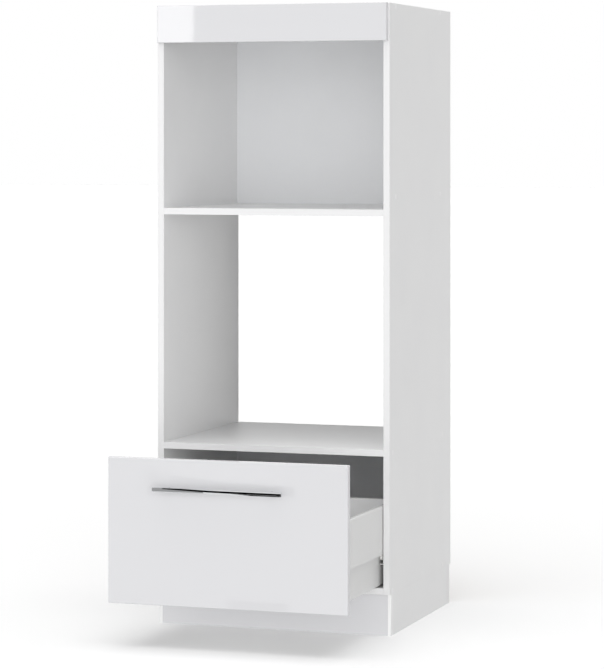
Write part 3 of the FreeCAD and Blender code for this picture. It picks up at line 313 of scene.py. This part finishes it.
def hardboard():
    """Thin fibreboard, painted white in front and brown behind."""
    made, tree, shader = new_material("white_faced_hardboard", HARDBOARD_WHITE, HARDBOARD_ROUGHNESS)
    fibres = carry(tree, noise(tree, **HARDBOARD_FIBRES), HARDBOARD_FIBRE_SPAN)
    brown = blend_colours(tree, fibres, HARDBOARD_BROWN, HARDBOARD_FIBRE)
    cloud = carry(tree, noise(tree, **HARDBOARD_CLOUD), CLOUD_SPAN)
    white = blend_colours(tree, cloud, tinted(HARDBOARD_WHITE, HARDBOARD_DIMMER), HARDBOARD_WHITE)
    painted = facing_y(tree, -1)
    link(tree, blend_colours(tree, painted, brown, white), shader.inputs["Base Color"])
    link(tree, carry(tree, painted, (0.0, 1.0), (HARDBOARD_BROWN_ROUGHNESS, HARDBOARD_WHITE_ROUGHNESS)),
         shader.inputs["Roughness"])
    add_bump(tree, shader, noise(tree, **HARDBOARD_FELT), HARDBOARD_RELIEF)
    return made


def speckled(name, colour, roughness, scale, relief, change, metallic=0.0):
    """Plain material with a fine grain in its colour, gloss and relief."""
    made, tree, shader = new_material(name, colour, roughness)
    shader.inputs["Metallic"].default_value = metallic
    grain = noise(tree, scale, SPECKLE_DETAIL)
    share = carry(tree, grain, GRAIN_SPAN)
    link(tree, blend_colours(tree, share, tinted(colour, 1 - change), colour), shader.inputs["Base Color"])
    smooth, rough = SPECKLE_ROUGHNESS
    link(tree, carry(tree, grain, GRAIN_SPAN, (roughness * smooth, roughness * rough)), shader.inputs["Roughness"])
    add_bump(tree, shader, grain, relief)
    return made


def beech():
    """Beech with its grain along the dowels."""
    made, tree, shader = new_material("beech", BEECH, BEECH_ROUGHNESS)
    grain = carry(tree, noise(tree, **BEECH_GRAIN), CLOUD_SPAN)
    link(tree, blend_colours(tree, grain, BEECH_DARK, BEECH), shader.inputs["Base Color"])
    add_bump(tree, shader, grain, BEECH_RELIEF)
    return made


MATERIALS = {
    "white_melamine": melamine("melamine", True),
    "gloss_front": gloss(),
    "white_hardboard": hardboard(),
    "coated_steel": speckled("coated_steel", COATED, roughness=0.32, scale=1500.0, relief=0.000012, change=0.02),
    "zinc_steel": speckled("zinc_plate", ZINC, roughness=0.34, scale=700.0, relief=0.000008, change=0.12,
                           metallic=1.0),
    "white_plastic": speckled("white_plastic", PLASTIC_WHITE, roughness=0.36, scale=1100.0, relief=0.00001,
                              change=0.015),
    "black_plastic": speckled("black_plastic", PLASTIC_BLACK, roughness=0.48, scale=1300.0, relief=0.00003,
                              change=0.2),
    "nylon": speckled("nylon", NYLON, roughness=0.40, scale=600.0, relief=0.00001, change=0.02),
    "dowel_wood": beech(),
    "soft_pad": speckled("soft_pad", PAD, roughness=0.22, scale=500.0, relief=0.000005, change=0.03),
    "chrome": speckled("chrome", CHROME, roughness=0.025, scale=250.0, relief=0.0000002, change=0.01,
                       metallic=1.0),
}
DRAWER_MELAMINE = melamine("melamine_drawer", False)
DRAWER_BOARDS = ("drawer_bottom", "drawer_back")


def dress(piece, node):
    """Gives a piece the material of a CAD node."""
    piece.data.materials.clear()
    piece.data.materials.append(DRAWER_MELAMINE if node in DRAWER_BOARDS else MATERIALS[SLOTS[node]])


# ------------------------------------------------------------ studio and camera
def make_camera():
    """Level camera with the photograph's focal length and its horizon above the middle."""
    data = bpy.data.cameras.new("camera")
    data.sensor_width = SENSOR_MM
    data.lens = FOCAL_PX / IMAGE_HEIGHT_PX * SENSOR_MM
    data.shift_y = (HORIZON_PX - IMAGE_HEIGHT_PX / 2) / IMAGE_HEIGHT_PX
    data.clip_end = CAMERA_CLIP_END
    camera = bpy.data.objects.new("camera", data)
    camera.location = CAMERA_PLACE
    camera.rotation_euler = (math.pi / 2, 0, CAMERA_TURN)
    bpy.context.scene.collection.objects.link(camera)
    bpy.context.scene.camera = camera


def seen_directly(tree):
    """1 for rays from the camera and for mirrored and refracted ones, 0 for the light that falls on things."""
    path = tree.nodes.new("ShaderNodeLightPath")
    either = calculate(tree, "MAXIMUM", path.outputs["Is Camera Ray"], path.outputs["Is Glossy Ray"])
    return calculate(tree, "MAXIMUM", either, path.outputs["Is Transmission Ray"])


def make_world():
    """Soft light that is stronger from some sides, in front of a white background."""
    world = bpy.data.worlds.new("studio")
    world.use_nodes = True
    bpy.context.scene.world = world
    tree = world.node_tree
    light = tree.nodes["Background"]
    light.inputs["Color"].default_value = (1, 1, 1, 1)
    white = tree.nodes.new("ShaderNodeBackground")
    white.inputs["Color"].default_value = (1, 1, 1, 1)
    white.inputs["Strength"].default_value = 1.0
    coordinates = tree.nodes.new("ShaderNodeTexCoord")
    total = WORLD_BASE
    for direction, power, strength in WORLD_LOBES:
        dot = tree.nodes.new("ShaderNodeVectorMath")
        dot.operation = "DOT_PRODUCT"
        link(tree, coordinates.outputs["Generated"], dot.inputs[0])
        dot.inputs[1].default_value = direction
        lobe = calculate(tree, "POWER", calculate(tree, "MAXIMUM", dot.outputs["Value"], 0.0), power)
        total = calculate(tree, "ADD", calculate(tree, "MULTIPLY", lobe, strength), total)
    link(tree, total, light.inputs["Strength"])
    mix = tree.nodes.new("ShaderNodeMixShader")
    link(tree, seen_directly(tree), mix.inputs[0])
    link(tree, light.outputs[0], mix.inputs[1])
    link(tree, white.outputs[0], mix.inputs[2])
    link(tree, mix.outputs[0], tree.nodes["World Output"].inputs["Surface"])


def make_floor():
    """White floor that keeps the shadows, meets the white background and throws no light back."""
    mesh = bpy.data.meshes.new("floor")
    corners = [(x * FLOOR_HALF, y * FLOOR_HALF, 0) for x, y in ((-1, -1), (1, -1), (1, 1), (-1, 1))]
    mesh.from_pydata(corners, [], [(0, 1, 2, 3)])
    floor = bpy.data.objects.new("floor", mesh)
    bpy.context.scene.collection.objects.link(floor)
    made, tree, shader = new_material("floor", (FLOOR_BOUNCE,) * 3, 1.0)
    shader.inputs["Specular IOR Level"].default_value = 0.0
    paint = tree.nodes.new("ShaderNodeBsdfDiffuse")
    paint.inputs["Color"].default_value = (FLOOR_SEEN, FLOOR_SEEN, FLOOR_SEEN, 1)
    lift = tree.nodes.new("ShaderNodeEmission")
    lift.inputs["Strength"].default_value = FLOOR_LIFT
    both = tree.nodes.new("ShaderNodeAddShader")
    link(tree, paint.outputs[0], both.inputs[0])
    link(tree, lift.outputs[0], both.inputs[1])
    mix = tree.nodes.new("ShaderNodeMixShader")
    link(tree, seen_directly(tree), mix.inputs[0])
    link(tree, shader.outputs[0], mix.inputs[1])
    link(tree, both.outputs[0], mix.inputs[2])
    link(tree, mix.outputs[0], tree.nodes["Material Output"].inputs["Surface"])
    mesh.materials.append(made)
    floor.visible_diffuse = False
    floor.visible_shadow = False


def make_card(name, corners, radiance, mirrored=True):
    """Flat card that only mirrored rays see, or else only the light that falls on things."""
    mesh = bpy.data.meshes.new(name)
    mesh.from_pydata(corners, [], [tuple(range(len(corners)))])
    made = bpy.data.materials.new(name)
    made.use_nodes = True
    tree = made.node_tree
    glow = tree.nodes.new("ShaderNodeEmission")
    glow.inputs["Strength"].default_value = radiance
    link(tree, glow.outputs[0], tree.nodes["Material Output"].inputs["Surface"])
    mesh.materials.append(made)
    card = bpy.data.objects.new(name, mesh)
    card.visible_camera = False
    card.visible_transmission = False
    card.visible_glossy = mirrored
    card.visible_diffuse = not mirrored
    card.visible_shadow = not mirrored
    bpy.context.scene.collection.objects.link(card)


def make_softbox():
    """Upright light in front on the left, whose right edge shows as a hard line in the fascia's gloss."""
    aim = Vector((*SOFTBOX_AIM, 0)).normalized()
    near = Vector((*SOFTBOX_EDGE, SOFTBOX_LOW))
    far = near + Vector((-aim.y, aim.x, 0)) * SOFTBOX_SIZE[0]
    up = Vector((0, 0, SOFTBOX_SIZE[1]))
    make_card("softbox", [near, far, far + up, near + up], SOFTBOX_RADIANCE)


def make_flags():
    """Dark and grey cards just ahead of the handle and on the floor, which draw the dark line along the bar."""
    low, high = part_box("handle_bar")
    ahead = low.y - FLAG_AHEAD
    middle = (low.z + high.z) / 2
    make_card("flag_dark", [(x, ahead, middle + z) for x, z in FLAG_DARK], 0.0)
    make_card("flag_grey", [(x, ahead, middle + z) for x, z in FLAG_GREY], FLAG_GREY_RADIANCE)
    make_card("flag_floor", [(x, y, FLAG_FLOOR_HEIGHT) for x, y in FLAG_FLOOR], 0.0)


def make_rear_flag():
    """Dim card in the open rear of the oven niche, which keeps the light from behind out of it and isn't seen."""
    shelf_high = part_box("oven_shelf")[1]
    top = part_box("microwave_shelf")[0].z
    left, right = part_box("side_panel_left")[1].x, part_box("side_panel_right")[0].x
    y = shelf_high.y + FLAG_REAR_GAP
    corners = [(x, y, z) for x, z in ((left, shelf_high.z), (right, shelf_high.z), (right, top), (left, top))]
    make_card("flag_rear", corners, FLAG_REAR_RADIANCE, mirrored=False)


# ------------------------------------------------------------ softened edges of the CAD's boards and sheets
WELD_REACH = 0.000005
BEVEL_ANGLE = math.radians(40)
BEVEL_SEGMENTS = 2
BOARD_EDGE = 0.0006
SHEET_EDGE = 0.0003
BOARDS = ("side_panel_left", "side_panel_right", "top_panel", "microwave_shelf", "oven_shelf", "bottom_panel",
          "drawer_bottom", "drawer_back", "plinth_front", "plinth_side_left", "plinth_side_right")
SHEETS = ("drawer_side_left", "drawer_side_right", "side_extension_left", "side_extension_right",
          "cabinet_runner_left", "cabinet_runner_right", "plinth_corner_strips", "extension_plugs", "front_brackets",
          "fascia_brackets", "wall_brackets", "plinth_clips")


def soften(node, width):
    """Small rounding on the sharp edges of a CAD piece."""
    weld = nodes[node].modifiers.new("weld", "WELD")
    weld.merge_threshold = WELD_REACH
    bevel = nodes[node].modifiers.new("edges", "BEVEL")
    bevel.width = width
    bevel.segments = BEVEL_SEGMENTS
    bevel.limit_method = "ANGLE"
    bevel.angle_limit = BEVEL_ANGLE
    bevel.harden_normals = True


# ------------------------------------------------------------ helpers for the pieces made here
SHARP_ANGLE = math.radians(32)


def solids_of(node):
    """Corners of each separate solid in a CAD node."""
    shape = bmesh.new()
    shape.from_mesh(nodes[node].data)
    bmesh.ops.remove_doubles(shape, verts=shape.verts, dist=WELD_REACH)
    seen = set()
    found = []
    for start in shape.verts:
        if start in seen:
            continue
        seen.add(start)
        pile = [start]
        corners = []
        while pile:
            corner = pile.pop()
            corners.append(corner.co.copy())
            for edge in corner.link_edges:
                other = edge.other_vert(corner)
                if other not in seen:
                    seen.add(other)
                    pile.append(other)
        found.append(corners)
    shape.free()
    return found


def span(corners):
    """Lowest and highest corner of a solid's box."""
    low = Vector(min(corner[axis] for corner in corners) for axis in range(3))
    high = Vector(max(corner[axis] for corner in corners) for axis in range(3))
    return low, high


def stand(foot, direction):
    """Placement whose Z axis leaves the foot along a direction."""
    return Matrix.Translation(foot) @ Vector(direction).to_track_quat("Z", "Y").to_matrix().to_4x4()


def turn(shape, profile, sides, place, press=(0.0, 0.0), closed=False):
    """Adds a form turned about the placement's Z axis from (radius, height) pairs.

    Inside the press radius four spokes of corners are pushed in by the press depth.
    """
    press_radius, press_depth = press
    rings = []
    for radius, height in profile:
        ring = []
        for step in range(sides if radius > 0 else 1):
            pressed = press_depth if radius < press_radius and step % (sides // 4) == 0 else 0.0
            angle = 2 * math.pi * step / sides
            corner = Vector((radius * math.cos(angle), radius * math.sin(angle), height - pressed))
            ring.append(shape.verts.new(place @ corner))
        rings.append(ring)
    if closed:
        rings.append(rings[0])
    for first, second in zip(rings, rings[1:]):
        for step in range(sides):
            after = (step + 1) % sides
            corners = (first[step % len(first)], first[after % len(first)],
                       second[after % len(second)], second[step % len(second)])
            shape.faces.new(dict.fromkeys(corners))


def add_piece(name, shape, node):
    """Makes a piece that stands for a CAD node, moves with its body and has its finish."""
    bmesh.ops.recalc_face_normals(shape, faces=shape.faces)
    mesh = bpy.data.meshes.new(name)
    shape.to_mesh(mesh)
    shape.free()
    mesh.shade_smooth()
    mesh.set_sharp_from_angle(angle=SHARP_ANGLE)
    piece = bpy.data.objects.new(name, mesh)
    bpy.context.scene.collection.objects.link(piece)
    dress(piece, node)
    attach(piece, BODIES[node])
    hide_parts(node)


# ------------------------------------------------------------ screws
# The head's outline and its cross are in shares of the head's radius and height. The point's length is limited
# both in shank radii and as a share of the shank, and its tip is a share of the shank's radius.
SCREW_SIDES = 24
HEAD_SHAPE = ((1.0, 0.0), (1.0, 0.30), (0.93, 0.62), (0.78, 0.84), (0.61, 0.94), (0.58, 0.95), (0.22, 1.0),
              (0.14, 0.55), (0.0, 0.45))
HEAD_RIM_SHARE = 0.9
CROSS_RADIUS = 0.6
CROSS_DEPTH = 0.55
POINT_RADII = 1.5
POINT_SHARE = 0.4
POINT_TIP = 0.3
SCREWS = {
    "cross_head_drawer_screws": "drawer_screws",
    "cross_head_runner_screws": "runner_screws",
    "cross_head_bracket_screws": "bracket_screws",
    "cross_head_back_screws": "back_panel_screws",
    "cross_head_handle_screws": "handle_screws",
}


def add_screw(shape, corners):
    """Adds a screw with a domed, cross-slotted head in the place of a plain headed pin."""
    low, high = span(corners)
    size = high - low
    axis = max(range(3), key=lambda index: size[index])
    across = [index for index in range(3) if index != axis]
    centre = (low + high) / 2

    def radius_of(corner):
        """How far a corner is from the pin's axis."""
        return math.hypot(*(corner[index] - centre[index] for index in across))

    ends = {}
    for sign, end in ((-1, low[axis]), (1, high[axis])):
        ends[sign] = max(radius_of(corner) for corner in corners if abs(corner[axis] - end) < WELD_REACH)
    sign = 1 if ends[1] > ends[-1] else -1
    head, shank = ends[sign], ends[-sign]
    top = high[axis] if sign > 0 else low[axis]
    height = max(abs(corner[axis] - top) for corner in corners if radius_of(corner) > HEAD_RIM_SHARE * head)
    foot = centre.copy()
    foot[axis] = top - sign * height
    direction = Vector((0, 0, 0))
    direction[axis] = sign
    length = size[axis] - height
    point = min(POINT_RADII * shank, POINT_SHARE * length)
    profile = [(0.0, -length), (POINT_TIP * shank, -length), (shank, point - length), (shank, 0.0)]
    profile += [(share * head, rise * height) for share, rise in HEAD_SHAPE]
    turn(shape, profile, SCREW_SIDES, stand(foot, direction), (CROSS_RADIUS * head, CROSS_DEPTH * height))


def make_screws(name, node):
    """Replaces a node's plain pins by screws with cross-slotted heads."""
    shape = bmesh.new()
    for corners in solids_of(node):
        add_screw(shape, corners)
    add_piece(name, shape, node)


# ------------------------------------------------------------ covers and bumpers
# Outlines in shares of the disc's radius and height.
DISC_SIDES = 32
COVER_SHAPE = ((0.0, 0.0), (1.0, 0.0), (1.0, 0.45), (0.90, 0.70), (0.70, 0.88), (0.40, 0.97), (0.0, 1.0))
BUMPER_SHAPE = ((0.0, 0.0), (1.0, 0.0), (1.0, 0.25), (0.90, 0.60), (0.70, 0.85), (0.40, 0.97), (0.0, 1.0))
DISCS = (
    ("round_caps_left", "cover_caps_left", COVER_SHAPE, (-1, 0, 0)),
    ("round_caps_right", "cover_caps_right", COVER_SHAPE, (1, 0, 0)),
    ("domed_bumpers", "bumper_pads", BUMPER_SHAPE, (0, 1, 0)),
)


def add_disc(shape, corners, outline, direction):
    """Adds a domed disc in the place of a many-sided one, with its foot away from the direction."""
    low, high = span(corners)
    size = high - low
    axis = max(range(3), key=lambda index: abs(direction[index]))
    radius = max(size[index] for index in range(3) if index != axis) / 2
    foot = (low + high) / 2
    foot[axis] = low[axis] if direction[axis] > 0 else high[axis]
    profile = [(share * radius, rise * size[axis]) for share, rise in outline]
    turn(shape, profile, DISC_SIDES, stand(foot, direction))


def make_discs(name, node, outline, direction):
    """Replaces a node's discs by domed ones that look along the direction."""
    shape = bmesh.new()
    for corners in solids_of(node):
        add_disc(shape, corners, outline, direction)
    add_piece(name, shape, node)


# ------------------------------------------------------------ rollers
# The face is given by shares of the radius and by how deep it is sunk, in rim widths. The rim's rounding is
# given in rim widths from the radius and from the face.
ROLLER_SIDES = 48
ROLLER_RIM = 0.0006
ROLLER_FACE = ((0.265, 0), (0.50, 0), (0.54, 1), (0.80, 1), (0.84, 0))
ROLLER_ROUNDING = ((1, 0), (0.3, 0.3), (0, 1))
ROLLERS = ("front_roller_left", "front_roller_right", "rear_roller_left", "rear_roller_right")


def make_roller(name, node):
    """Nylon roller with rounded rims and a shallow ring in each face."""
    low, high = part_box(node)
    half = (high.x - low.x) / 2
    radius = (high.z - low.z) / 2
    side = [(share * radius, half - sunk * ROLLER_RIM) for share, sunk in ROLLER_FACE]
    side += [(radius - inwards * ROLLER_RIM, half - sunk * ROLLER_RIM) for inwards, sunk in ROLLER_ROUNDING]
    profile = side + [(reach, -height) for reach, height in reversed(side)]
    shape = bmesh.new()
    turn(shape, profile, ROLLER_SIDES, stand((low + high) / 2, (1, 0, 0)), closed=True)
    add_piece(name, shape, node)


# ------------------------------------------------------------ legs
# A socket has a sleeve and a round flange, stiffened by gussets that sink a little into the sleeve. A foot
# has a collar under its tube, whose thread is wider at its mouth than at its floor.
LEG_SIDES = 40
SOCKET_SLEEVE = 0.017
SOCKET_BORE = 0.0127
SOCKET_FLANGE_THICK = 0.004
SOCKET_EDGE = 0.0008
GUSSETS = 6
GUSSET_HALF = 0.0009
GUSSET_SINK = 0.0005
GUSSET_MARGIN = 0.003
GUSSET_FOOT = 0.002
GUSSET_LOW = 0.006
FOOT_TUBE = 0.0125
FOOT_THICK = 0.007
FOOT_EDGE = 0.0012
FOOT_COLLAR = 0.002
THREAD_PITCH = 0.004
THREAD_DEPTH = 0.0006
THREAD_MOUTH = 0.0012
THREAD_FLOOR = 0.0008
TUBE_WALL = 0.003
TUBE_BORE_DEPTH = 0.010


def add_block(shape, corners):
    """Adds a six-sided block from four corners of one face and the four opposite."""
    made = [shape.verts.new(corner) for corner in corners]
    for face in ((0, 1, 2, 3), (7, 6, 5, 4), (0, 4, 5, 1), (1, 5, 6, 2), (2, 6, 7, 3), (3, 7, 4, 0)):
        shape.faces.new([made[index] for index in face])


def make_leg_sockets():
    """Moulded sleeves under the bottom panel, each with a round flange and gussets."""
    shape = bmesh.new()
    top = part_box("bottom_panel")[0].z
    for corners in solids_of("leg_sockets"):
        low, high = span(corners)
        centre = (low + high) / 2
        place = stand((centre.x, centre.y, low.z), (0, 0, 1))
        flange = (high.x - low.x) / 2
        tall = top - low.z
        under = tall - SOCKET_FLANGE_THICK
        profile = [(0.0, under), (SOCKET_BORE, under), (SOCKET_BORE, 0.0), (SOCKET_SLEEVE - SOCKET_EDGE, 0.0),
                   (SOCKET_SLEEVE, SOCKET_EDGE), (SOCKET_SLEEVE, under), (flange - SOCKET_EDGE, under),
                   (flange, under + SOCKET_EDGE), (flange, tall), (0.0, tall)]
        turn(shape, profile, LEG_SIDES, place)
        near, far = SOCKET_SLEEVE - GUSSET_SINK, flange - GUSSET_MARGIN
        outline = ((near, under), (far, under), (near + GUSSET_FOOT, GUSSET_LOW), (near, GUSSET_LOW))
        for step in range(GUSSETS):
            spin = place @ Matrix.Rotation(2 * math.pi * (step + 0.5) / GUSSETS, 4, "Z")
            add_block(shape, [spin @ Vector((x, side * GUSSET_HALF, z)) for side in (-1, 1) for x, z in outline])
    add_piece("moulded_leg_sockets", shape, "leg_sockets")


def make_leg_feet():
    """Round feet with a rounded rim, under tubes with a coarse adjusting thread."""
    shape = bmesh.new()
    for corners in solids_of("leg_feet"):
        low, high = span(corners)
        foot = (low + high) / 2
        foot.z = low.z
        tall = high.z - low.z
        wide = (high.x - low.x) / 2
        profile = [(0.0, 0.0), (wide - FOOT_EDGE, 0.0), (wide, FOOT_EDGE), (wide, FOOT_THICK - FOOT_EDGE),
                   (wide - FOOT_EDGE, FOOT_THICK), (FOOT_TUBE + FOOT_COLLAR, FOOT_THICK),
                   (FOOT_TUBE, FOOT_THICK + FOOT_COLLAR)]
        rise = FOOT_THICK + THREAD_PITCH
        while rise + THREAD_PITCH < tall:
            profile += [(FOOT_TUBE, rise - THREAD_MOUTH), (FOOT_TUBE - THREAD_DEPTH, rise - THREAD_FLOOR),
                        (FOOT_TUBE - THREAD_DEPTH, rise + THREAD_FLOOR), (FOOT_TUBE, rise + THREAD_MOUTH)]
            rise += THREAD_PITCH
        bore, floor = FOOT_TUBE - TUBE_WALL, tall - TUBE_BORE_DEPTH
        profile += [(FOOT_TUBE, tall), (bore, tall), (bore, floor), (0.0, floor)]
        turn(shape, profile, LEG_SIDES, stand(foot, (0, 0, 1)))
    add_piece("threaded_leg_feet", shape, "leg_feet")


# ------------------------------------------------------------ the whole scene
make_camera()
make_world()
make_floor()
make_softbox()
make_flags()
make_rear_flag()
for node in SLOTS:
    dress(nodes[node], node)
for board in BOARDS:
    soften(board, BOARD_EDGE)
for sheet in SHEETS:
    soften(sheet, SHEET_EDGE)
for name, node in SCREWS.items():
    make_screws(name, node)
for name, node, outline, direction in DISCS:
    make_discs(name, node, outline, direction)
for roller in ROLLERS:
    make_roller("turned_" + roller, roller)
make_leg_sockets()
make_leg_feet()

bpy.context.scene.view_settings.view_transform = "Standard"
